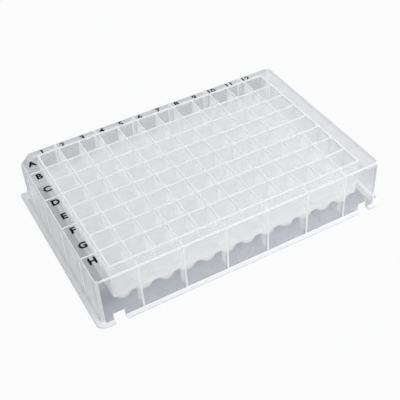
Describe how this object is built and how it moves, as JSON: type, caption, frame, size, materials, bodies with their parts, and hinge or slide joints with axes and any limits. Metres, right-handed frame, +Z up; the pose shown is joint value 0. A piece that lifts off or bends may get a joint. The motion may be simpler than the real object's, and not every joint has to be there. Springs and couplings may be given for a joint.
{
  "type": "well plate",
  "caption": "Low deep-well plate of milky plastic: square wells with round bottoms, flat marked deck, cut corner at A1, skirt on a base flange.",
  "frame": {"origin": "middle of the footprint, on the plane the plate stands on", "axes": "+X from column 1 to column 12, +Y from row H to row A, +Z up out of the wells"},
  "size_m": [0.1278, 0.0854, 0.023],
  "materials": {
    "polypropylene": "natural milky polypropylene, lets light through",
    "marking_ink": "printed row letters and column numbers"
  },
  "bodies": {
    "root": {"well_plate": "polypropylene"}
  },
  "joints": []
}
